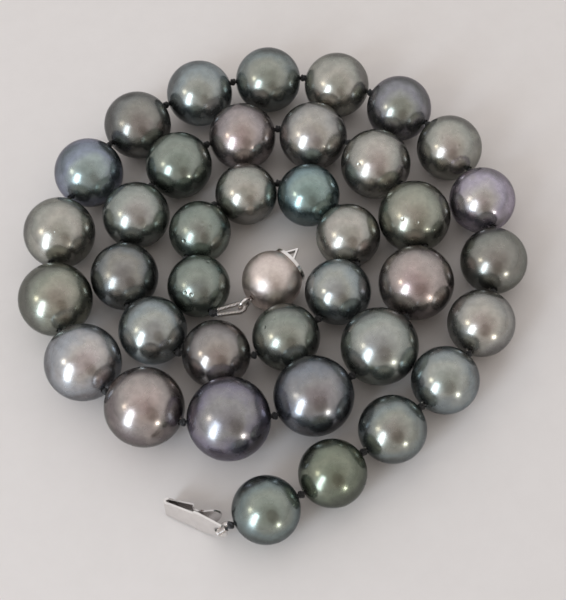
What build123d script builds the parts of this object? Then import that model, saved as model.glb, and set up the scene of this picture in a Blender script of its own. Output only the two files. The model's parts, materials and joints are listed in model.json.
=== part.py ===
from build123d import *
import os
from math import acos, atan2, cos, hypot, pi, radians, sin, sqrt, tan

# A knotted strand of graduated dark pearls with a ball clasp, coiled flat on a table.
# Millimetres. +Z is up from the table, and the origin is under the middle of the coil.
# Pearl 1 is next to the clasp's tongue, on the outside of the coil. The strand winds
# anticlockwise and inwards to the last pearl, which holds the clasp's ball.

# ---- Driving dimensions ----

# Pearls and silk
pearl_count = 38
largest_pearl = 19            # the middle of the strand, counted from the tongue
largest_diameter = 12.0
end_diameter = 9.5            # about the size of the first and the last pearl
graduation = 0.6              # below 1: sizes drop quickly from the middle, then level out
bore_diameter = 1.0
knot_gap = 0.95               # between two pearls' surfaces when the strand is straight
knot_diameter = 1.3
cord_diameter = 0.6           # doubled silk, through the pearls
loop_silk_diameter = 0.4      # single silk, inside the two end loops

# The coil: the knots lie on a ring that steps inwards once a turn. Lengths along it are in turns.
outer_ring_radius = 33.6
strand_start = -0.04          # turns from the front of the coil to the first knot
first_step_in = 10.47
first_step_start = 0.79
first_step_length = 0.339
second_step_in = 10.05
second_step_start = 1.781
second_step_length = 0.316
tail_flare = 19.7             # how far the tongue's end would swing out of the ring
tail_flare_end = 0.083
tail_flare_length = 0.25
halvings = 50                 # of the search interval when the next knot's place is found

# Ball of the clasp
ball_diameter = 9.0
ball_wall = 0.35
rear_hole_place = 4.13        # from the ball's centre to the vent hole under the solder pad
mouth_seat = 3.4              # from the ball's centre to the back of its mouth plate
mouth_plate_thickness = 0.5
mouth_plate_overhang = 0.1    # past the ball's surface, all round
slot_width = 1.4
slot_height = 3.5
bridge_reach = 1.85           # how far the folded bridge stands out of the mouth plate
bridge_foot_spacing = 2.0
bridge_bottom = 1.9           # above the slot's centre
bridge_height = 0.7
bridge_thickness = 0.3

# Soldered eyelet and the two end loops of coiled wire round the silk
eyelet_ring_radius = 0.95     # to the middle of its wire
eyelet_wire = 0.6
solder_pad_diameter = 1.0
ball_loop_length = 4.9        # from the last knot to the middle of the loop's far bend
tongue_loop_length = 2.8      # the same from the first knot
loop_bend_radius = 0.75
loop_tube_diameter = 0.8
loop_tube_bore = 0.56
loop_leg_start = 0.75         # from the end knot's centre to where the coiled wire begins
loop_leg_offset = 0.42        # of each leg from the loop's middle line, at its start
loop_play = 0.03              # between a loop and the metal that it passes through
knot_bite = 0.4               # the silk starts this share of the way out to the coiled wire
ball_loop_turn = 77.0         # degrees that the ball's loop turns at the last knot
ball_turn = 32.5              # degrees that the ball turns at its eyelet
tongue_turn = 49.0            # degrees that the tongue turns back at the first knot

# Tongue of the clasp: a strip folded at its tip, leaning back on its lower edge
leaf_thickness = 0.35
tongue_length = 8.9           # from the eye's centre to the tip
tongue_lean = 13.0            # degrees back from upright, so that it rests on both leaves
eye_diameter = 1.4
lug_diameter = 2.6
shoulder_start = 3.2
shoulder_end = 3.9
shoulder_width = 4.0
insert_width = 3.2            # beside the shoulder
tip_width = 2.8
fold_inner_radius = 0.2
spring_thickness = 0.3
catch_place = 4.7             # from the eye's centre to the spring leaf's catch step
catch_gap = 1.0               # between the leaves at the catch step
neck_gap = 0.6                # between the leaves where they pass the slot
neck_end = 2.7
thumb_gap = 2.0               # between the leaves at the thumb tab's end
thumb_end = 0.9
neck_width = 2.2
thumb_width = 3.2
step_run = 0.25               # length of the catch step's slope
leaf_joint_play = 0.01        # between the two leaves at the fold


# ---- The coil ----

def smooth_step(share):
    """Goes from 0 to 1 with no corner as share goes from 0 to 1."""
    share = min(max(share, 0.0), 1.0)
    return share * share * (3 - 2 * share)


def coil_point(turn):
    """Returns the place on the coil's ring, turn turns anticlockwise from the front."""
    radius = outer_ring_radius
    radius -= first_step_in * smooth_step((turn - first_step_start) / first_step_length)
    radius -= second_step_in * smooth_step((turn - second_step_start) / second_step_length)
    radius += tail_flare * smooth_step((tail_flare_end - turn) / tail_flare_length)
    angle = 2 * pi * turn - pi / 2
    return radius * cos(angle), radius * sin(angle)


def next_turn(turn, chord):
    """Finds where the ring next lies one chord away from its place at turn."""
    x, y = coil_point(turn)

    def distance(other):
        other_x, other_y = coil_point(other)
        return hypot(other_x - x, other_y - y)

    search_step = 0.005
    high = turn + search_step
    while distance(high) < chord:
        high += search_step
    low = high - search_step
    for _ in range(halvings):
        middle = (low + high) / 2
        if distance(middle) < chord:
            low = middle
        else:
            high = middle
    return high


def pearl_diameter(number):
    """Returns a pearl's diameter: it falls from the middle of the strand to the ends."""
    half_count = (pearl_count - 1) / 2
    share = abs(number - largest_pearl) / half_count
    return largest_diameter - (largest_diameter - end_diameter) * share**graduation


def lay_out_knots():
    """Returns x and y of every knot, from the tongue's to the ball's."""
    turn = strand_start
    places = [coil_point(turn)]
    for number in range(1, pearl_count + 1):
        turn = next_turn(turn, pearl_diameter(number) + knot_gap)
        places.append(coil_point(turn))
    return places


def middle_of_box(places):
    """Returns the middle of the box round every pearl, seen from above."""
    middle = []
    for axis in (0, 1):
        low = []
        high = []
        for number in range(1, pearl_count + 1):
            centre = (places[number - 1][axis] + places[number][axis]) / 2
            low.append(centre - pearl_diameter(number) / 2)
            high.append(centre + pearl_diameter(number) / 2)
        middle.append((min(low) + max(high)) / 2)
    return middle


def knot_height(index):
    """Returns a knot's height: between the middles of the two things that it ties."""
    before = pearl_diameter(max(index, 1)) / 2
    after = pearl_diameter(min(index + 1, pearl_count)) / 2
    if index == pearl_count:
        after = ball_diameter / 2
    return (before + after) / 2


flat_knots = lay_out_knots()
coil_middle = middle_of_box(flat_knots)
knots = [
    Vector(x - coil_middle[0], y - coil_middle[1], knot_height(index))
    for index, (x, y) in enumerate(flat_knots)
]


def pearl_centre(number):
    """Returns a pearl's centre: halfway between its two knots, resting on the table."""
    middle = (knots[number - 1] + knots[number]) / 2
    return Vector(middle.X, middle.Y, pearl_diameter(number) / 2)


def heading(start, end):
    """Returns the direction from start to end, seen from above, in radians."""
    return atan2(end.Y - start.Y, end.X - start.X)


def forward(angle, distance):
    """Returns the level step of the given length in the given direction."""
    return Vector(distance * cos(angle), distance * sin(angle), 0)


# ---- Where the clasp's two ends lie ----

# The ball's end: the last knot, its level loop, then the ball on the loop's far bend.
ball_loop_heading = heading(knots[-2], knots[-1]) + radians(ball_loop_turn)
ball_heading = ball_loop_heading + radians(ball_turn)
eyelet_pivot = knots[-1] + forward(ball_loop_heading, ball_loop_length - loop_bend_radius)
eyelet_centre_reach = ball_diameter / 2 + eyelet_ring_radius + eyelet_wire / 4
ball_centre = eyelet_pivot + forward(ball_heading, eyelet_centre_reach + eyelet_ring_radius)
ball_centre = Vector(ball_centre.X, ball_centre.Y, ball_diameter / 2)

# The tongue's end: the first knot, its loop hanging down, then the tongue on its lower edge.
# The tongue's shoulder and the back of its folded tip touch the table.
tongue_heading = heading(knots[1], knots[0]) - radians(tongue_turn)
half_shoulder = shoulder_width / 2
half_tip = tip_width / 2
lean = radians(tongue_lean)
fold_x = tongue_length - fold_inner_radius - leaf_thickness
fold_back = 1.5 * leaf_thickness + 2 * fold_inner_radius
shoulder_drop = half_shoulder * cos(lean) + leaf_thickness / 2 * sin(lean)
tip_drop = half_tip * cos(lean) + fold_back * sin(lean)
nose_drop = atan2(shoulder_drop - tip_drop, fold_x - shoulder_end)
eye_height = shoulder_end * sin(nose_drop) + shoulder_drop * cos(nose_drop)
tube_offset_in_eye = eye_diameter / 2 - loop_tube_diameter / 2 - loop_play
knot_to_eye = tongue_loop_length + tube_offset_in_eye
eye_drop = knots[0].Z - eye_height
eye_aside = eye_drop * tan(lean)  # the loop leans with the tongue
eye_run = sqrt(knot_to_eye**2 - eye_drop**2 - eye_aside**2)
tongue_side = Vector(-sin(tongue_heading), cos(tongue_heading), 0)
eye_centre = knots[0] + forward(tongue_heading, eye_run) + tongue_side * eye_aside
eye_centre = Vector(eye_centre.X, eye_centre.Y, eye_height)

# Frames. In each, local X points away from the pearls, and local Z points up.
ball_plane = Plane(
    origin=ball_centre, x_dir=forward(ball_heading, 1), z_dir=(0, 0, 1)
)
ball_loop_plane = Plane(
    origin=knots[-1], x_dir=forward(ball_loop_heading, 1), z_dir=(0, 0, 1)
)
tongue_forward = forward(tongue_heading, cos(nose_drop)) - Vector(0, 0, sin(nose_drop))
tongue_up = tongue_forward.cross(tongue_side) * cos(lean) - tongue_side * sin(lean)
tongue_plane = Plane(origin=eye_centre, x_dir=tongue_forward, z_dir=tongue_up)
tongue_loop_plane = Plane(
    origin=knots[0],
    x_dir=eye_centre - knots[0],
    z_dir=(eye_centre - knots[0]).cross(tongue_plane.y_dir),
)


# ---- Pearls and silk ----

def rod(start, end, diameter):
    """Makes a round bar from start to end."""
    span = end - start
    return Plane(origin=start, z_dir=span) * Cylinder(
        diameter / 2, span.length, align=(Align.CENTER, Align.CENTER, Align.MIN)
    )


def make_pearl(number):
    """Makes one round pearl, turned about its bore, which runs from knot to knot."""
    radius = pearl_diameter(number) / 2
    hole = bore_diameter / 2
    half_bore = sqrt(radius**2 - hole**2)
    skin = ThreePointArc((hole, -half_bore), (radius, 0), (hole, half_bore))
    wall = Line((hole, half_bore), (hole, -half_bore))
    half_section = Plane.XZ * make_face([skin, wall])
    pearl = revolve(half_section, axis=Axis.Z)
    along = knots[number] - knots[number - 1]
    return Plane(origin=pearl_centre(number), z_dir=along).location * pearl


def loop_path(loop_length, leg_start, leg_offset):
    """Draws an end loop's middle line: out, round its far bend and back to the knot."""
    bend_x = loop_length - loop_bend_radius
    reach = hypot(bend_x - leg_start, leg_offset)
    to_start = atan2(leg_offset, leg_start - bend_x)
    tangent_angle = to_start - acos(loop_bend_radius / reach)
    touch_x = bend_x + loop_bend_radius * cos(tangent_angle)
    touch_y = loop_bend_radius * sin(tangent_angle)
    out = Line((leg_start, -leg_offset), (touch_x, -touch_y))
    bend = ThreePointArc((touch_x, -touch_y), (loop_length, 0), (touch_x, touch_y))
    back = Line((touch_x, touch_y), (leg_start, leg_offset))
    return Wire([out, bend, back])


def sweep_round(path, diameter):
    """Makes a round bar along a path."""
    return sweep(Plane(path.location_at(0)) * Circle(diameter / 2), path=path)


def make_loop_silk(plane, loop_length):
    """Makes the silk inside one end loop: the tube's line, with its ends in the knot."""
    tube_line = loop_path(loop_length, loop_leg_start, loop_leg_offset)
    silk = sweep_round(tube_line, loop_silk_diameter)
    for leg_end in (tube_line.position_at(0), tube_line.position_at(1)):
        silk += rod(leg_end * knot_bite, leg_end, loop_silk_diameter)
    return plane.location * silk


def make_silk_cord():
    """Makes the whole silk: a straight run through each pearl, the knots and both loops."""
    cord = Part()
    for start, end in zip(knots, knots[1:]):
        knot = Plane(origin=start, z_dir=end - start).location * Sphere(knot_diameter / 2)
        cord = cord + knot + rod(start, end, cord_diameter)
    cord += ball_loop_plane.location * Sphere(knot_diameter / 2)
    cord += make_loop_silk(ball_loop_plane, ball_loop_length)
    cord += make_loop_silk(tongue_loop_plane, tongue_loop_length)
    return cord


def make_loop_tube(plane, loop_length):
    """Makes the tube of coiled wire that guards the silk in one end loop."""
    path = loop_path(loop_length, loop_leg_start, loop_leg_offset)
    tube = sweep_round(path, loop_tube_diameter) - sweep_round(path, loop_tube_bore)
    return plane.location * tube


# ---- Ball of the clasp, in its own frame: mouth towards local +X ----

def turned_shell(end_x):
    """Makes the ball's skin from its equator to a flat cut at end_x, turned about local X."""
    outer = ball_diameter / 2
    inner = outer - ball_wall
    outer_end = sqrt(outer**2 - end_x**2)
    inner_end = sqrt(inner**2 - end_x**2)
    middle = end_x / 2
    skin = ThreePointArc((0, outer), (middle, sqrt(outer**2 - middle**2)), (end_x, outer_end))
    cut = Line((end_x, outer_end), (end_x, inner_end))
    lining = ThreePointArc((end_x, inner_end), (middle, sqrt(inner**2 - middle**2)), (0, inner))
    equator = Line((0, inner), (0, outer))
    return revolve(make_face([skin, cut, lining, equator]), axis=Axis.X)


def make_ball_front_shell():
    """Makes the half of the ball that holds the mouth plate."""
    return ball_plane.location * turned_shell(mouth_seat)


def make_ball_rear_shell():
    """Makes the half of the ball that carries the eyelet over its drilled pole."""
    return ball_plane.location * turned_shell(-rear_hole_place)


def make_mouth_plate():
    """Makes the round plate with the upright slot that the tongue slides into."""
    seat_radius = sqrt((ball_diameter / 2) ** 2 - mouth_seat**2)
    disc = Plane.YZ * Circle(seat_radius + mouth_plate_overhang)
    slot = Plane.YZ * Rectangle(slot_width, slot_height)
    plate = extrude(disc - slot, mouth_plate_thickness)
    return ball_plane.location * Pos(mouth_seat, 0, 0) * plate


def make_mouth_bridge():
    """Makes the strip folded to a point that stands out over the slot's top end."""
    front = mouth_seat + mouth_plate_thickness
    half_foot = bridge_foot_spacing / 2
    outline = [(front, -half_foot), (front + bridge_reach, 0), (front, half_foot)]
    inner_reach = bridge_reach * (1 - bridge_thickness / half_foot)
    inner = [
        (front, half_foot - bridge_thickness),
        (front + inner_reach, 0),
        (front, bridge_thickness - half_foot),
    ]
    strip = make_face(Polyline(outline + inner, close=True))
    bridge = extrude(Pos(0, 0, bridge_bottom) * strip, bridge_height)
    return ball_plane.location * bridge


def make_ball_eyelet():
    """Makes the upright ring and its solder pad, ending on the ball's skin."""
    ring_x = -eyelet_centre_reach
    ring = Pos(ring_x, 0, 0) * Rot(90, 0, 0) * Torus(eyelet_ring_radius, eyelet_wire / 2)
    pad_start = Vector(ring_x + eyelet_ring_radius, 0, 0)
    pad = rod(pad_start, Vector(ball_wall - ball_diameter / 2, 0, 0), solder_pad_diameter)
    return ball_plane.location * (ring + pad - Sphere(ball_diameter / 2))


# ---- Tongue of the clasp, in its own frame: tip towards local +X, width along local Z ----

def side_slab(sketch, thickness):
    """Makes a plate of a sketch of local X and Z, centred on the tongue's middle plane."""
    return extrude(Plane.XZ * sketch, thickness / 2, both=True)


def make_tongue_main_leaf():
    """Makes the long leaf: eye and lug, shoulders, tapered insert and the fold at the tip."""
    half_insert = insert_width / 2
    shoulder = Pos((shoulder_start + shoulder_end) / 2, 0) * Rectangle(
        shoulder_end - shoulder_start, shoulder_width
    )
    heel = make_hull((Circle(lug_diameter / 2) + shoulder).edges())
    taper = (half_insert - half_tip) / (tongue_length - shoulder_end)
    half_at_fold = half_tip + taper * (tongue_length - fold_x)
    insert_points = [
        (shoulder_end, -half_insert),
        (fold_x, -half_at_fold),
        (fold_x, half_at_fold),
        (shoulder_end, half_insert),
    ]
    insert = make_face(Polyline(insert_points, close=True))
    flat = side_slab(heel + insert - Circle(eye_diameter / 2), leaf_thickness)
    fold_y = -leaf_thickness / 2 - fold_inner_radius
    outer = Circle(fold_inner_radius + leaf_thickness)
    bend = outer - Circle(fold_inner_radius)
    bend &= Pos(fold_inner_radius + leaf_thickness, 0) * Rectangle(
        2 * (fold_inner_radius + leaf_thickness), 4 * leaf_thickness
    )
    bend = Pos(fold_x, fold_y, -half_tip) * extrude(bend, tip_width)
    return tongue_plane.location * (flat + bend)


def spring_profile():
    """Draws the spring leaf from above: insert, catch step, neck and flared thumb tab."""
    inner_face = -leaf_thickness / 2
    start = fold_x - leaf_joint_play
    fold_gap = 2 * fold_inner_radius
    stations = [
        (start, fold_gap),
        (catch_place, catch_gap),
        (catch_place - step_run, neck_gap),
        (neck_end, neck_gap),
        (thumb_end, thumb_gap),
    ]
    near = [(x, inner_face - gap) for x, gap in stations]
    far = [(x, inner_face - gap - spring_thickness) for x, gap in stations]
    return make_face(Polyline(near + far[::-1], close=True))


def spring_outline():
    """Draws the spring leaf from the side: wide insert, narrow neck, round thumb tab."""
    half_insert = insert_width / 2
    insert_points = [
        (catch_place - step_run, -half_insert),
        (tongue_length, -half_tip),
        (tongue_length, half_tip),
        (catch_place - step_run, half_insert),
    ]
    insert = make_face(Polyline(insert_points, close=True))
    neck_middle = (catch_place + neck_end) / 2
    neck = Pos(neck_middle, 0) * Rectangle(catch_place - neck_end + step_run, neck_width)
    half_thumb = thumb_width / 2
    thumb = Pos(thumb_end + half_thumb, 0) * Circle(half_thumb)
    return insert + neck + thumb


def make_tongue_spring_leaf():
    """Makes the springy leaf that the fingers squeeze to let the tongue out."""
    height = 2 * shoulder_width
    profile = Pos(0, 0, -height / 2) * extrude(spring_profile(), height)
    outline = side_slab(spring_outline(), 4 * shoulder_width)
    return tongue_plane.location * (profile & outline)


# ---- Write every node ----

def write_nodes():
    """Writes one file for each node."""
    os.makedirs("parts", exist_ok=True)
    nodes = {f"pearl_{n:02d}": make_pearl(n) for n in range(1, pearl_count + 1)}
    nodes["silk_cord"] = make_silk_cord()
    nodes["ball_end_loop"] = make_loop_tube(ball_loop_plane, ball_loop_length)
    nodes["ball_eyelet"] = make_ball_eyelet()
    nodes["ball_rear_shell"] = make_ball_rear_shell()
    nodes["ball_front_shell"] = make_ball_front_shell()
    nodes["mouth_plate"] = make_mouth_plate()
    nodes["mouth_bridge"] = make_mouth_bridge()
    nodes["tongue_end_loop"] = make_loop_tube(tongue_loop_plane, tongue_loop_length)
    nodes["tongue_main_leaf"] = make_tongue_main_leaf()
    nodes["tongue_spring_leaf"] = make_tongue_spring_leaf()
    for name, shape in nodes.items():
        export_step(shape, f"parts/{name}.step")


write_nodes()
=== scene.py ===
import json
import math

import bpy
import numpy as np
from mathutils import Matrix, Vector


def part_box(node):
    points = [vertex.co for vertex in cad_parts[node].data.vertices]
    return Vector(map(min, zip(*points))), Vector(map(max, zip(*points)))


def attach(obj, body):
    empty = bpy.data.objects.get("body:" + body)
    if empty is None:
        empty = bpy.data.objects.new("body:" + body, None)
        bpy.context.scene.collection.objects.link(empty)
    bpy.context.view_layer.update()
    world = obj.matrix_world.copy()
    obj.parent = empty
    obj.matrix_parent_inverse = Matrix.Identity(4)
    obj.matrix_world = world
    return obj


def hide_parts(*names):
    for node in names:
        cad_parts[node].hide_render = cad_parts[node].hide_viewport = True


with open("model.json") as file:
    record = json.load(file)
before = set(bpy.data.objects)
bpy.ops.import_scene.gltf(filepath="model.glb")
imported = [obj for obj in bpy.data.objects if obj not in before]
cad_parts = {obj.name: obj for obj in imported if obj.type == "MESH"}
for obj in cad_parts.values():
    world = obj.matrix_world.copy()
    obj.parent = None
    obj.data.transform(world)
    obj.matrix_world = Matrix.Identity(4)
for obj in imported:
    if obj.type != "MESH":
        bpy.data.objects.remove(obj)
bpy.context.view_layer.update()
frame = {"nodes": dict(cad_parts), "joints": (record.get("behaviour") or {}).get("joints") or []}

# A knotted strand of dark pearls with a ball clasp, lying coiled on a pale table.
# Blender's units are metres, so sizes are given in millimetres and multiplied by MM.
MM = 0.001
PEARL_COUNT = 38
CORD_PEARL = 19                   # the pearl whose body the silk cord's node belongs to

# ---- Driving dimensions ----

BORE_RADIUS = 0.5 * MM
BORE_CHAMFER = 0.09 * MM
OUT_OF_ROUND = 0.009              # how far a pearl's surface falls short of its sphere, at most
WAVE_TURNS = (1.3, 1.3, 2.2, 2.2, 3.4)  # of the soft waves in a pearl's surface
PIT_RADIUS = 0.36 * MM            # of a blemish in the nacre
FIRST_SEED = 100                  # a pearl's number is added to it
PEARL_RINGS = 60
PEARL_SEGMENTS = 88

THREAD_RADIUS = 0.3 * MM          # doubled silk, where it runs through a pearl
KNOT_THREAD_RADIUS = 0.24 * MM
KNOT_RADIUS = 0.26 * MM           # of the overhand knot's turns, to the thread's middle
LOOP_THREAD_RADIUS = 0.2 * MM     # single silk, inside the two end loops
PLY_TWIST = 3000                  # radians per metre, of the silk's plies
RUN_TWIST = 2200                  # the same, where the silk runs straight

LOOP_BEND_RADIUS = 0.75 * MM
LOOP_LEG_START = 0.75 * MM        # from the end knot's centre to where the coiled wire begins
LOOP_LEG_OFFSET = 0.42 * MM
COIL_RADIUS = 0.315 * MM          # of the guard coil, to the middle of its wire
COIL_WIRE_RADIUS = 0.085 * MM
COIL_PITCH = 0.21 * MM

CAMERA_ELEVATION = math.radians(60)
CAMERA_ROLL = math.radians(-8.27)
CAMERA_DISTANCE = 212.8 * MM
CAMERA_TARGET = Vector((0.99, -1.79, 0.0)) * MM
CAMERA_LENS = 84
CAMERA_NEAREST = 10 * MM

TABLE_HALF = 1500 * MM
LAMP_DISTANCE = 800 * MM

# ---- Places taken from the frame ----

JOINTS = {joint["name"]: joint for joint in frame["joints"]}


def joint_place(name):
    """Returns the place of a joint, in metres."""
    return Vector(JOINTS[name]["pos_m"])


def knot_joint(index):
    """Returns the name of the joint at a knot, counted from the tongue's knot, 0."""
    names = {0: "tongue_loop_swing", CORD_PEARL: "uncoil", PEARL_COUNT: "ball_loop_swing"}
    return names.get(index, f"knot_{index:02d}_bend")


KNOTS = [joint_place(knot_joint(index)) for index in range(PEARL_COUNT + 1)]


def pearl_node(number):
    """Returns the name of a pearl's node, which is its body's name too."""
    return f"pearl_{number:02d}"


def pearl_radius(number):
    """Returns a pearl's radius: its node rests on the table, so its top is one diameter up."""
    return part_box(pearl_node(number))[1].z / 2


def pearl_centre(number):
    """Returns a pearl's centre, halfway between its two knots."""
    middle = (KNOTS[number - 1] + KNOTS[number]) / 2
    return Vector((middle.x, middle.y, pearl_radius(number)))


# The camera's right, up and back directions are the columns of VIEW.
CAMERA_BACK = Vector((0, -math.cos(CAMERA_ELEVATION), math.sin(CAMERA_ELEVATION)))
VIEW = CAMERA_BACK.to_track_quat("Z", "Y").to_matrix() @ Matrix.Rotation(CAMERA_ROLL, 3, "Z")


def skin_place(number, right, up):
    """Returns where the camera sees a pearl's skin, at these shares of its radius off its centre."""
    back = math.sqrt(1 - right * right - up * up)
    return pearl_centre(number) + VIEW @ Vector((right, up, back)) * pearl_radius(number)


# ---- Small tools for meshes ----

def add_mesh(name, vertices, faces, material, smooth=True):
    """Makes an object from vertices and faces, with one material."""
    mesh = bpy.data.meshes.new(name)
    mesh.from_pydata([tuple(v) for v in vertices], [], faces)
    mesh.materials.append(material)
    for polygon in mesh.polygons:
        polygon.use_smooth = smooth
    mesh.update()
    piece = bpy.data.objects.new(name, mesh)
    bpy.context.scene.collection.objects.link(piece)
    return piece


def ring_faces(ring_count, segments, closed=False):
    """Lists the quads between rings of equal size; a closed row of rings joins its ends."""
    faces = []
    last = ring_count if closed else ring_count - 1
    for ring in range(last):
        here = ring * segments
        there = (ring + 1) % ring_count * segments
        for i in range(segments):
            j = (i + 1) % segments
            faces.append((here + i, here + j, there + j, there + i))
    return faces


def frames_along(points, closed=False):
    """Returns a side and an up direction at each point, turning as little as they can."""
    count = len(points)
    tangents = []
    for i in range(count):
        before = points[i - 1] if (i > 0 or closed) else points[i]
        after = points[(i + 1) % count] if (i < count - 1 or closed) else points[i]
        tangents.append((after - before).normalized())
    side = tangents[0].orthogonal().normalized()
    frames = []
    for tangent in tangents:
        side = (side - tangent * side.dot(tangent)).normalized()
        frames.append((side, tangent.cross(side)))
    return frames


def around(side, up, angle):
    """Returns the direction at an angle from side towards up."""
    return side * math.cos(angle) + up * math.sin(angle)


def tube(points, radius, segments, lobes=0, lobe_depth=0.0, twist=0.0, closed=False):
    """Returns a thread along points. Lobes give it the plies of a twisted cord."""
    vertices = []
    length = 0.0
    for index, (point, (side, up)) in enumerate(zip(points, frames_along(points, closed))):
        if index:
            length += (point - points[index - 1]).length
        for i in range(segments):
            angle = 2 * math.pi * i / segments
            ply = abs(math.cos(lobes / 2 * (angle - twist * length)))
            reach = radius * (1 - lobe_depth + lobe_depth * ply)
            vertices.append(point + around(side, up, angle) * reach)
    faces = ring_faces(len(points), segments, closed)
    if not closed:
        faces.append(tuple(reversed(range(segments))))
        start = (len(points) - 1) * segments
        faces.append(tuple(range(start, start + segments)))
    return vertices, faces


def joined(parts):
    """Joins several lists of vertices and faces into one."""
    vertices = []
    faces = []
    for part_vertices, part_faces in parts:
        shift = len(vertices)
        vertices += part_vertices
        faces += [tuple(index + shift for index in face) for face in part_faces]
    return vertices, faces


# ---- Materials ----

def input_of(node, key):
    """Finds a node's input: i0, i1 and so on by its place, any other key by its name."""
    name = key.replace("_", " ")
    if name[0] == "i" and name[1:].isdigit():
        return node.inputs[int(name[1:])]
    return node.inputs[name]


class Nodes:
    """Builds a node tree in short lines."""

    def __init__(self, tree):
        self.tree = tree
        tree.nodes.clear()

    def feed(self, socket, value):
        """Links a socket's value, or sets a plain one. A colour gets its alpha."""
        if isinstance(value, bpy.types.NodeSocket):
            self.tree.links.new(value, socket)
        elif socket.type == "RGBA":
            socket.default_value = (*value, 1)
        else:
            socket.default_value = value

    def add(self, kind, settings=None, **inputs):
        """Adds a node with its settings and inputs."""
        node = self.tree.nodes.new("ShaderNode" + kind)
        for key, value in (settings or {}).items():
            setattr(node, key, value)
        for key, value in inputs.items():
            self.feed(input_of(node, key), value)
        return node

    def ramp(self, factor, stops):
        """Adds a colour ramp with the given (place, colour) stops."""
        node = self.add("ValToRGB", i0=factor)
        elements = node.color_ramp.elements
        for element, (place, colour) in zip(elements, (stops[0], stops[-1])):
            element.position = place
            element.color = (*colour, 1)
        for place, colour in stops[1:-1]:
            element = elements.new(place)
            element.color = (*colour, 1)
        return node.outputs["Color"]

    def blend(self, factor, first, second, mode="MIX"):
        """Mixes two colours."""
        node = self.add("Mix", {"data_type": "RGBA", "blend_type": mode}, i0=factor, i6=first, i7=second)
        return node.outputs[2]

    def math(self, operation, first, second=0.0):
        """Adds a maths node on one or two numbers."""
        return self.add("Math", {"operation": operation}, i0=first, i1=second).outputs[0]

    def span(self, value, low, high, to_low=0.0, to_high=1.0, smooth=True):
        """Maps value from low..high to to_low..to_high, with soft ends."""
        settings = {"interpolation_type": "SMOOTHSTEP" if smooth else "LINEAR"}
        node = self.add("MapRange", settings, i0=value, i1=low, i2=high, i3=to_low, i4=to_high)
        return node.outputs[0]

    def place(self):
        """Returns the place of the shaded point, in the object's own metres."""
        return self.add("TexCoord").outputs["Object"]

    def noise(self, place, scale, detail=2.0, rough=0.5):
        """Adds a noise texture and returns its value, about 0.5. Scale is in waves per metre."""
        node = self.add("TexNoise", None, Vector=place, Scale=scale, Detail=detail, Roughness=rough)
        return node.outputs[0]

    def patches(self, place, scale, detail, rough, low, high):
        """Returns noise spread over low..high."""
        return self.span(self.noise(place, scale, detail, rough), 0.3, 0.7, low, high)

    def bump(self, height, depth, strength=1.0):
        """Turns a height into a surface direction. Depth is what a height of 1 stands for."""
        return self.add("Bump", None, Strength=strength, Distance=depth, Height=height).outputs[0]

    def finish(self, surface):
        """Links the surface shader to the material's output."""
        self.add("OutputMaterial", None, Surface=surface.outputs[0])


def new_material(name):
    """Makes an empty material and returns it with its node builder."""
    material = bpy.data.materials.new(name)
    material.use_nodes = True
    return material, Nodes(material.node_tree)


def from_screen(red, green, blue):
    """Turns a screen colour, 0 to 255, into the linear values that a shader takes."""
    def linear(value):
        share = value / 255
        return share / 12.92 if share <= 0.04045 else ((share + 0.055) / 1.055) ** 2.4
    return (linear(red), linear(green), linear(blue))


def scaled(colour, factors):
    """Multiplies a colour by three factors."""
    return tuple(c * f for c, f in zip(colour, factors))


# Body colours of the nacre, as each looks under a white ceiling.
TEAL = from_screen(136, 151, 152)
PALE_TEAL = from_screen(148, 158, 162)
SAGE = from_screen(145, 146, 142)
DARK_SAGE = from_screen(135, 140, 136)
OLIVE = from_screen(124, 127, 116)
MOSS = from_screen(152, 150, 142)
STONE = from_screen(156, 157, 156)
PALE_STONE = from_screen(168, 163, 160)
SAND = from_screen(171, 165, 163)
TAUPE = from_screen(136, 133, 131)
PALE_TAUPE = from_screen(152, 143, 142)
ROSE = from_screen(169, 155, 156)
LAVENDER = from_screen(178, 172, 174)
DARK_LAVENDER = from_screen(140, 137, 142)

# How the overtone tints the rim of a pearl.
GREEN_RIM = (0.83, 0.90, 0.84)
BLUE_RIM = (0.77, 0.87, 0.91)
LILAC_RIM = (0.88, 0.86, 1.01)
PLAIN_RIM = (0.82, 0.88, 0.87)

# Between the two, the overtone passes through a faint yellow. At the very edge, painted shade darkens it
# to grey.
GLOW = (1.03, 1.04, 0.96)
PAINTED_EDGE_SHADE = (0.48, 0.50, 0.50)

# At a grazing angle the mirror itself takes the rim's tint, dimmed by this.
GRAZING = (0.46, 0.44, 0.45)

# How the overtone tints the middle of a pearl.
WARM_HEART = (1.06, 0.99, 0.95)
GREEN_HEART = (0.98, 1.03, 0.95)
PLAIN_HEART = (1.0, 1.0, 1.0)

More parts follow.
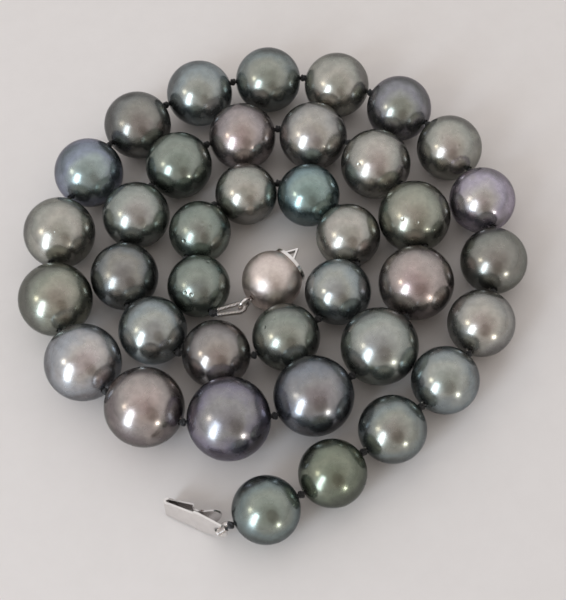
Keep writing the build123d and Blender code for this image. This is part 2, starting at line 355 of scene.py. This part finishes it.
# The body, rim and middle colours of each pearl, counted from the tongue.
PEARL_LOOKS = {
    1: (DARK_SAGE, BLUE_RIM, GREEN_HEART),
    2: (OLIVE, GREEN_RIM, GREEN_HEART),
    3: (SAGE, BLUE_RIM, WARM_HEART),
    4: (STONE, BLUE_RIM, GREEN_HEART),
    5: (PALE_STONE, PLAIN_RIM, WARM_HEART),
    6: (TAUPE, GREEN_RIM, WARM_HEART),
    7: (LAVENDER, LILAC_RIM, WARM_HEART),
    8: (PALE_STONE, GREEN_RIM, WARM_HEART),
    9: (SAGE, LILAC_RIM, GREEN_HEART),
    10: (PALE_STONE, GREEN_RIM, GREEN_HEART),
    11: (SAGE, BLUE_RIM, GREEN_HEART),
    12: (STONE, BLUE_RIM, GREEN_HEART),
    13: (TAUPE, PLAIN_RIM, WARM_HEART),
    14: (PALE_TEAL, LILAC_RIM, GREEN_HEART),
    15: (PALE_STONE, GREEN_RIM, GREEN_HEART),
    16: (MOSS, GREEN_RIM, WARM_HEART),
    17: (LAVENDER, BLUE_RIM, WARM_HEART),
    18: (ROSE, GREEN_RIM, WARM_HEART),
    19: (DARK_LAVENDER, LILAC_RIM, PLAIN_HEART),
    20: (DARK_LAVENDER, BLUE_RIM, WARM_HEART),
    21: (STONE, GREEN_RIM, PLAIN_HEART),
    22: (ROSE, GREEN_RIM, WARM_HEART),
    23: (MOSS, GREEN_RIM, WARM_HEART),
    24: (SAND, GREEN_RIM, WARM_HEART),
    25: (SAND, PLAIN_RIM, PLAIN_HEART),
    26: (ROSE, PLAIN_RIM, WARM_HEART),
    27: (DARK_SAGE, GREEN_RIM, GREEN_HEART),
    28: (STONE, GREEN_RIM, WARM_HEART),
    29: (TAUPE, BLUE_RIM, PLAIN_HEART),
    30: (STONE, BLUE_RIM, PLAIN_HEART),
    31: (PALE_TAUPE, PLAIN_RIM, WARM_HEART),
    32: (SAGE, GREEN_RIM, GREEN_HEART),
    33: (STONE, BLUE_RIM, PLAIN_HEART),
    34: (SAND, GREEN_RIM, GREEN_HEART),
    35: (TEAL, BLUE_RIM, GREEN_HEART),
    36: (PALE_STONE, GREEN_RIM, GREEN_HEART),
    37: (DARK_SAGE, GREEN_RIM, WARM_HEART),
    38: (DARK_SAGE, GREEN_RIM, PLAIN_HEART),
}

# The blemishes that show from the camera, by pearl: shares of its radius to the right and up.
BLEMISHES = {
    8: [(-0.28, 0.18), (0.16, -0.06), (0.24, -0.39)],
    23: [(-0.41, -0.12), (-0.02, -0.21)],
    24: [(-0.53, -0.10)],
    32: [(-0.63, 0.30), (-0.34, 0.56)],
    37: [
        (-0.46, -0.32), (-0.83, -0.07), (-0.80, -0.46), (-0.62, -0.66),
        (-0.40, -0.80), (0.13, 0.22), (0.36, 0.12),
    ],
    38: [(-0.38, -0.22), (-0.18, -0.28), (0.33, 0.75)],
}

NACRE_DEPTH = 0.035 * MM          # of its swells; the grain and the pits are shares of it
GRAIN_SHARE = 0.05
PIT_SHARE = 0.7
BLEMISH_DEPTH = 2.2               # against a common pit


def nacre_colour(nodes, place, body, rim, heart):
    """Returns the nacre's colour: its overtone from the middle to the rim, with painted shade at the
    very edge, then its mottle.
    """
    facing = nodes.add("LayerWeight", None, Blend=0.5).outputs["Facing"]
    straight = nodes.math("SUBTRACT", 1.0, facing)
    squared = nodes.math("MULTIPLY", straight, straight)
    from_middle = nodes.math("SQRT", nodes.math("SUBTRACT", 1.0, squared))
    drift = nodes.patches(place, 150, 3, 0.55, -0.18, 0.18)
    overtone_and_edge_shade = nodes.ramp(nodes.math("ADD", from_middle, drift), [
        (0.10, scaled(body, heart)),
        (0.45, scaled(body, GLOW)),
        (0.78, scaled(body, rim)),
        # painted shade: at the very edge the colour is darkened to about half
        (1.0, scaled(body, PAINTED_EDGE_SHADE)),
    ])
    shade = nodes.patches(place, 900, 4, 0.6, 0.92, 1.12)
    mottle = nodes.add("CombineColor", None, Red=shade, Green=shade, Blue=shade).outputs[0]
    return nodes.blend(1.0, overtone_and_edge_shade, mottle, "MULTIPLY")


def nacre_pits(nodes, place, number):
    """Returns how deep the pits are at a place: the scattered ones and the pearl's blemishes."""
    cells = nodes.add("TexVoronoi", {"feature": "F1"}, Vector=place, Scale=520, Randomness=1.0)
    rare = nodes.span(cells.outputs["Color"], 0.80, 0.82)
    near = nodes.span(cells.outputs["Distance"], 0.03, 0.10, 1.0, 0.0)
    depth = nodes.math("MULTIPLY", near, rare)
    for right, up in BLEMISHES.get(number, []):
        spot = tuple(skin_place(number, right, up))
        apart = nodes.add("VectorMath", {"operation": "DISTANCE"}, i0=place, i1=spot).outputs["Value"]
        blemish = nodes.span(apart, 0.3 * PIT_RADIUS, PIT_RADIUS, BLEMISH_DEPTH, 0.0)
        depth = nodes.math("MAXIMUM", depth, blemish)
    return depth


def make_nacre(number):
    """Makes the nacre of one pearl: a soft mirror under a clear skin, tinted by its overtone."""
    body, rim, heart = PEARL_LOOKS[number]
    material, nodes = new_material(f"nacre_{number:02d}")
    place = nodes.place()
    grain = nodes.math("MULTIPLY", nodes.noise(place, 5200, 3, 0.6), GRAIN_SHARE)
    pits = nodes.math("MULTIPLY", nacre_pits(nodes, place, number), PIT_SHARE)
    swell = nodes.noise(place, 330, 2, 0.5)
    height = nodes.math("ADD", nodes.math("SUBTRACT", grain, pits), swell)
    bump = nodes.bump(height, NACRE_DEPTH)
    nodes.finish(nodes.add(
        "BsdfPrincipled", None,
        Base_Color=nacre_colour(nodes, place, body, rim, heart),
        Metallic=0.94,
        Roughness=nodes.patches(place, 420, 3, 0.5, 0.21, 0.30),
        Normal=bump,
        Specular_Tint=scaled(rim, GRAZING),
        Coat_Weight=0.45,
        Coat_Roughness=0.12,
        Coat_IOR=1.5,
        Coat_Normal=bump,
    ))
    return material


def make_silk():
    """Makes the black silk: a soft sheen on fine twisted fibres."""
    material, nodes = new_material("silk")
    fibre = nodes.noise(nodes.place(), 9000, 3)
    nodes.finish(nodes.add(
        "BsdfPrincipled", None,
        Base_Color=nodes.ramp(fibre, [(0.3, (0.006, 0.006, 0.007)), (0.7, (0.03, 0.029, 0.03))]),
        Roughness=0.6,
        Normal=nodes.bump(fibre, 0.03 * MM, strength=0.5),
        Sheen_Weight=0.3,
        Sheen_Roughness=0.4,
    ))
    return material


def make_metal(name, colour, roughness, scratch_scale, scratch_depth):
    """Makes white metal with worn polish: fine scratches and slightly uneven gloss."""
    material, nodes = new_material(name)
    place = nodes.place()
    stretched = nodes.add("Mapping", None, Vector=place, Scale=(1.0, 1.0, 6.0)).outputs[0]
    scratch = nodes.noise(stretched, scratch_scale, 4, 0.65)
    tarnished = scaled(colour, (0.9, 0.9, 0.9))
    nodes.finish(nodes.add(
        "BsdfPrincipled", None,
        Base_Color=nodes.ramp(nodes.noise(place, 700, 3), [(0.3, tarnished), (0.7, colour)]),
        Metallic=1.0,
        Roughness=nodes.span(scratch, 0.3, 0.7, roughness * 0.75, roughness * 1.25),
        Normal=nodes.bump(scratch, scratch_depth, strength=0.4),
    ))
    return material


def make_satin(heading):
    """Makes the ball's satin finish: grained and drawn along its axis, with tiny bright facets."""
    material, nodes = new_material("satin_metal")
    place = nodes.place()
    colour = nodes.ramp(
        nodes.noise(place, 1500, 4, 0.7),
        [(0.3, (0.62, 0.53, 0.49)), (0.7, (0.74, 0.65, 0.60))],
    )
    along = nodes.add("Mapping", None, Vector=place, Rotation=(0, 0, -heading)).outputs[0]
    drawn = nodes.add("Mapping", None, Vector=along, Scale=(0.12, 1.0, 1.0)).outputs[0]
    strokes = nodes.math("MULTIPLY", nodes.noise(drawn, 8000, 2, 0.6), 0.6)
    height = nodes.math("ADD", nodes.noise(place, 7000, 3, 0.7), strokes)
    nodes.finish(nodes.add(
        "BsdfPrincipled", None,
        Base_Color=colour,
        Metallic=1.0,
        Roughness=nodes.span(nodes.noise(place, 5000), 0.35, 0.65, 0.28, 0.48),
        Normal=nodes.bump(height, 0.011 * MM),
    ))
    return material


def make_table_finish():
    """Makes the pale table top's finish: off-white with a very faint mottle."""
    material, nodes = new_material("pale_table")
    mottle = nodes.noise(nodes.place(), 260, 5, 0.65)
    colour = nodes.ramp(mottle, [(0.35, (0.71, 0.665, 0.645)), (0.65, (0.725, 0.68, 0.66))])
    nodes.finish(nodes.add("BsdfPrincipled", None, Base_Color=colour, Roughness=0.55))
    return material


# ---- Pearls ----

def pearl_waves(rng):
    """Draws the soft waves that keep a pearl a little out of round."""
    waves = []
    for turns in WAVE_TURNS:
        direction = Vector(rng.normal(size=3)).normalized() * turns
        waves.append((direction, rng.uniform(0, 2 * math.pi), 1 / turns))
    return waves


def shrink_at(direction, waves):
    """Returns how far inside its sphere a pearl's surface lies, as a share of the radius."""
    total = 0.0
    most = 0.0
    for wave, phase, weight in waves:
        total += weight * (1 + math.cos(wave.dot(direction) * 2 + phase)) / 2
        most += weight
    return OUT_OF_ROUND * total / most


def make_pearl(number):
    """Builds one pearl: a nearly round skin, two softened hole edges and its bore."""
    waves = pearl_waves(np.random.default_rng(FIRST_SEED + number))
    radius = pearl_radius(number)
    centre = pearl_centre(number)
    along = (KNOTS[number] - KNOTS[number - 1]).normalized()
    side = along.orthogonal().normalized()
    outward = [
        around(side, along.cross(side), 2 * math.pi * i / PEARL_SEGMENTS)
        for i in range(PEARL_SEGMENTS)
    ]
    mouth = math.asin((BORE_RADIUS + BORE_CHAMFER) / radius)
    vertices = []
    for ring in range(PEARL_RINGS):
        angle = mouth + (math.pi - 2 * mouth) * ring / (PEARL_RINGS - 1)
        for out in outward:
            direction = along * math.cos(angle) + out * math.sin(angle)
            vertices.append(centre + direction * radius * (1 - shrink_at(direction, waves)))
    bore_end = radius * math.cos(mouth) - BORE_CHAMFER
    bore_places = (-bore_end, 0.0, bore_end)
    for bore_place in bore_places:
        for out in outward:
            vertices.append(centre + along * bore_place + out * BORE_RADIUS)
    faces = ring_faces(PEARL_RINGS + len(bore_places), PEARL_SEGMENTS, closed=True)
    pearl = add_mesh(f"nacre_pearl_{number:02d}", vertices, faces, make_nacre(number))
    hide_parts(pearl_node(number))
    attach(pearl, pearl_node(number))


# ---- Silk ----

def overhand_knot(centre, along):
    """Returns a pulled-tight overhand knot, its ends pointing along the strand."""
    steps = 72
    spread = 0.42                 # of its three bights, as a share of the knot's radius
    half_length = 0.8 * KNOT_RADIUS
    side = along.orthogonal().normalized()
    up = along.cross(side)
    points = []
    for step in range(steps):
        t = 2 * math.pi * step / steps
        reach = KNOT_RADIUS * (1.0 + spread * math.cos(3 * t))
        forward = along * half_length * math.sin(3 * t)
        points.append(centre + forward + around(side, up, 2 * t) * reach)
    return tube(points, KNOT_THREAD_RADIUS, 12, lobes=4, lobe_depth=0.12, twist=PLY_TWIST, closed=True)


def silk_run(start, end):
    """Returns the doubled silk from one knot to the next, with its two plies twisted."""
    steps = 60
    points = [start.lerp(end, step / (steps - 1)) for step in range(steps)]
    return tube(points, THREAD_RADIUS, 12, lobes=2, lobe_depth=0.3, twist=RUN_TWIST)


def make_pearl_silk(number, silk):
    """Builds the silk that one pearl carries: its run through the bore and one knot."""
    start = KNOTS[number - 1]
    end = KNOTS[number]
    along = (end - start).normalized()
    parts = [silk_run(start, end), overhand_knot(end, along)]
    if number == 1:
        parts.append(overhand_knot(start, along))
    piece = add_mesh(f"silk_{number:02d}", *joined(parts), silk)
    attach(piece, pearl_node(number))
    if number == CORD_PEARL:
        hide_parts("silk_cord")


# ---- End loops ----

def loop_line(knot, length, x_dir, y_dir):
    """Returns the middle line of an end loop: a leg, the bend and the other leg."""
    leg_steps = 60
    bend_steps = 90
    bend_x = length - LOOP_BEND_RADIUS
    reach = math.hypot(bend_x - LOOP_LEG_START, LOOP_LEG_OFFSET)
    to_start = math.atan2(LOOP_LEG_OFFSET, LOOP_LEG_START - bend_x)
    touch = to_start - math.acos(LOOP_BEND_RADIUS / reach)
    touch_x = bend_x + LOOP_BEND_RADIUS * math.cos(touch)
    touch_y = LOOP_BEND_RADIUS * math.sin(touch)
    leg = []
    for step in range(leg_steps):
        share = step / leg_steps
        leg.append((
            LOOP_LEG_START + (touch_x - LOOP_LEG_START) * share,
            -LOOP_LEG_OFFSET + (LOOP_LEG_OFFSET - touch_y) * share,
        ))
    bend = []
    for step in range(bend_steps + 1):
        angle = -touch + 2 * touch * step / bend_steps
        bend.append((bend_x + LOOP_BEND_RADIUS * math.cos(angle), LOOP_BEND_RADIUS * math.sin(angle)))
    mirrored = [(x, -y) for x, y in reversed(leg)]
    return [knot + x_dir * x + y_dir * y for x, y in leg + bend + mirrored]


def even_points(points, spacing):
    """Walks a line and returns points about one spacing apart."""
    lengths = [0.0]
    for before, after in zip(points, points[1:]):
        lengths.append(lengths[-1] + (after - before).length)
    count = int(lengths[-1] / spacing)
    even = []
    place = 0
    for step in range(count + 1):
        target = lengths[-1] * step / count
        while place < len(points) - 2 and lengths[place + 1] < target:
            place += 1
        gap = lengths[place + 1] - lengths[place]
        even.append(points[place].lerp(points[place + 1], (target - lengths[place]) / gap))
    return even


def guard_coil(line):
    """Returns the fine wire wound round an end loop, one turn after another."""
    steps_per_turn = 14
    walk = even_points(line, COIL_PITCH / steps_per_turn)
    wound = []
    for index, (point, (side, up)) in enumerate(zip(walk, frames_along(walk))):
        wound.append(point + around(side, up, 2 * math.pi * index / steps_per_turn) * COIL_RADIUS)
    return tube(wound, COIL_WIRE_RADIUS, 6)


def make_end_loop(name, node, knot, length, x_dir, y_dir, metal, silk):
    """Builds one end loop: the guard coil, and the silk inside it down to the knot."""
    line = loop_line(knot, length, x_dir, y_dir)
    coil = add_mesh(f"{name}_coil", *guard_coil(line), metal)
    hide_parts(node)
    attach(coil, node)
    inner = [knot] + line[::4] + [line[-1], knot]
    cord = tube(inner, LOOP_THREAD_RADIUS, 10, lobes=2, lobe_depth=0.2, twist=PLY_TWIST)
    thread = add_mesh(f"{name}_silk", *cord, silk)
    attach(thread, node)


def make_ball_loop(metal, silk):
    """Builds the loop that lies level and holds the ball's eyelet in its bend."""
    knot = KNOTS[PEARL_COUNT]
    span = joint_place("ball_swing") - knot
    length = span.length + LOOP_BEND_RADIUS
    out = span.normalized()
    aside = Vector((0, 0, 1)).cross(out)
    make_end_loop("ball_loop", "ball_end_loop", knot, length, out, aside, metal, silk)


def make_tongue_loop(metal, silk):
    """Builds the loop that passes through the tongue's eye. The tongue turns about its bend."""
    knot = KNOTS[0]
    span = joint_place("tongue_lift") - knot
    out = span.normalized()
    aside = Vector(JOINTS["tongue_lift"]["axis"]).normalized()
    make_end_loop("tongue_loop", "tongue_end_loop", knot, span.length, out, aside, metal, silk)


# ---- Clasp ----

def dress(node, material):
    """Gives a node that keeps its own mesh its finished material."""
    piece = frame["nodes"][node]
    piece.data.materials.clear()
    piece.data.materials.append(material)
    for polygon in piece.data.polygons:
        polygon.material_index = 0


def ball_heading():
    """Returns which way the ball's axis points, from the eyelet to the mouth."""
    low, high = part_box("ball_rear_shell")
    axis = (low + high) / 2 - joint_place("ball_swing")
    return math.atan2(axis.y, axis.x)


def dress_clasp():
    """Finishes the clasp: a satin ball, polished metal and a brushed spring leaf."""
    satin = make_satin(ball_heading())
    polished = make_metal("polished_metal", (0.80, 0.77, 0.75), 0.12, 3000, 0.004 * MM)
    brushed = make_metal("spring_metal", (0.62, 0.59, 0.58), 0.22, 4000, 0.01 * MM)
    for node in ("ball_front_shell", "ball_rear_shell"):
        dress(node, satin)
    for node in ("mouth_plate", "mouth_bridge", "ball_eyelet", "tongue_main_leaf"):
        dress(node, polished)
    dress("tongue_spring_leaf", brushed)


# ---- Stage ----

def make_table():
    """Builds the table top that fills the view."""
    half = TABLE_HALF
    corners = [(-half, -half, 0), (half, -half, 0), (half, half, 0), (-half, half, 0)]
    add_mesh("table", corners, [(0, 1, 2, 3)], make_table_finish(), smooth=False)


def make_world():
    """Lights the room: a pale ceiling, darker walls, and the dim shape in front of the table."""
    world = bpy.data.worlds.new("room")
    bpy.context.scene.world = world
    world.use_nodes = True
    nodes = Nodes(world.node_tree)
    direction = nodes.add("TexCoord").outputs["Generated"]
    height = nodes.add("SeparateXYZ", None, i0=direction).outputs[2]
    room = nodes.ramp(nodes.span(height, -0.2, 1.0, smooth=False), [
        (0.0, (0.34, 0.325, 0.32)),
        (0.25, (0.60, 0.585, 0.585)),
        (0.55, (0.87, 0.86, 0.86)),
        (1.0, (0.93, 0.92, 0.91)),
    ])
    front = (0.08, -0.62, 0.78)
    toward = nodes.add("VectorMath", {"operation": "DOT_PRODUCT"}, i0=direction, i1=front)
    dim = nodes.span(toward.outputs["Value"], 0.60, 0.97)
    shaded = nodes.blend(dim, room, (0.64, 0.61, 0.58))
    light = nodes.add("Background", None, Color=shaded, Strength=1.0)
    nodes.add("OutputWorld", None, Surface=light.outputs[0])


def add_lamp(name, direction, width, height, radiance, colour, shape="RECTANGLE"):
    """Adds a bright pane that faces the strand."""
    light = bpy.data.lights.new(name, "AREA")
    light.shape = shape
    light.size = width
    light.size_y = height
    area = width * height * (math.pi / 4 if shape == "ELLIPSE" else 1)
    light.energy = radiance * math.pi * area
    light.color = colour
    lamp = bpy.data.objects.new(name, light)
    toward = Vector(direction).normalized()
    lamp.location = toward * LAMP_DISTANCE
    lamp.rotation_mode = "QUATERNION"
    lamp.rotation_quaternion = toward.to_track_quat("Z", "Y")
    bpy.context.scene.collection.objects.link(lamp)


def make_lamps():
    """Adds the two windows and the warm lamp that the pearls mirror."""
    daylight = (0.74, 0.87, 1.0)
    low_sun = (1.0, 0.97, 0.88)
    lamp_light = (1.0, 0.93, 0.78)
    add_lamp("window", (-0.66, -0.64, 0.40), 220 * MM, 660 * MM, 7.5, daylight)
    add_lamp("far_window", (0.46, -0.86, 0.06), 80 * MM, 100 * MM, 20.0, low_sun)
    add_lamp("lamp", (-0.76, -0.18, 0.60), 150 * MM, 150 * MM, 5.0, lamp_light, "ELLIPSE")


def make_onlooker():
    """Stands a dim warm shape close in front, as a pair of hands would be. The pearls mirror it."""
    material, nodes = new_material("onlooker")
    cloth = nodes.noise(nodes.place(), 30, 2)
    colour = nodes.ramp(cloth, [(0.35, (0.29, 0.255, 0.23)), (0.65, (0.42, 0.37, 0.335))])
    nodes.finish(nodes.add("Emission", None, Color=colour, Strength=1.0))
    middle = Vector((36, -112, 88)) * MM
    half_width = 44 * MM
    half_height = 60 * MM
    corners = 32
    side = Vector((1, 0, 0))
    up = Vector((0, 0.3, 1)).normalized()
    outline = [
        middle + around(side * half_width, up * half_height, 2 * math.pi * i / corners)
        for i in range(corners)
    ]
    shape = add_mesh("onlooker", outline, [tuple(range(corners))], material, smooth=False)
    shape.visible_camera = False


def make_camera():
    """Looks down at the strand as one would over a table, slightly rolled."""
    data = bpy.data.cameras.new("camera")
    data.lens = CAMERA_LENS
    data.clip_start = CAMERA_NEAREST
    camera = bpy.data.objects.new("camera", data)
    place = CAMERA_TARGET + CAMERA_BACK * CAMERA_DISTANCE
    camera.matrix_world = Matrix.Translation(place) @ VIEW.to_4x4()
    bpy.context.scene.collection.objects.link(camera)
    bpy.context.scene.camera = camera


# ---- Build ----

silk = make_silk()
wire = make_metal("coiled_wire", (0.74, 0.69, 0.66), 0.2, 3000, 0.004 * MM)
for number in range(1, PEARL_COUNT + 1):
    make_pearl(number)
    make_pearl_silk(number, silk)
make_ball_loop(wire, silk)
make_tongue_loop(wire, silk)
dress_clasp()

make_table()
make_world()
make_lamps()
make_onlooker()
make_camera()
bpy.context.scene.view_settings.view_transform = "Standard"
